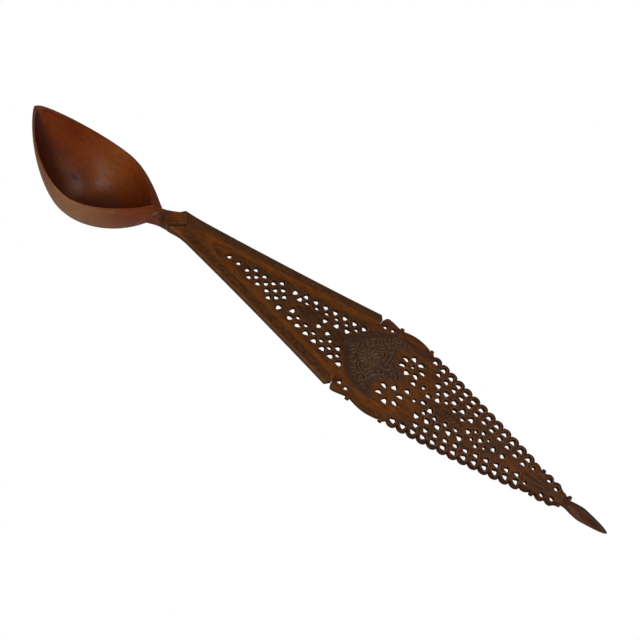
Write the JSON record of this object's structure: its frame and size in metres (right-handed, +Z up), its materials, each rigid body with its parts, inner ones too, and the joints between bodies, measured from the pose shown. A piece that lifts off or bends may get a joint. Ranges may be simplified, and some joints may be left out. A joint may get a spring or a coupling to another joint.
{
  "type": "sherbet spoon",
  "caption": "Carved and pierced wooden sherbet spoon with a deep thin bowl, a forked handle, an openwork panel and a bud finial.",
  "frame": {"origin": "on the table, under the middle of the spoon's bounding box", "axes": "+X from the bowl towards the finial, +Z up, as the spoon lies on the underside of its bowl and on its finial"},
  "size_m": [0.4032, 0.0712, 0.0504],
  "materials": {
    "bowl": "oiled fruit wood, semi-gloss",
    "handle_frame": "carved and oiled, satin",
    "pierced_panel": "pierced, carved and oiled, satin",
    "finial": "carved and oiled, satin"
  },
  "bodies": {
    "root": {"bowl": "bowl", "handle_frame": "handle_frame", "pierced_panel": "pierced_panel", "finial": "finial"}
  },
  "joints": []
}
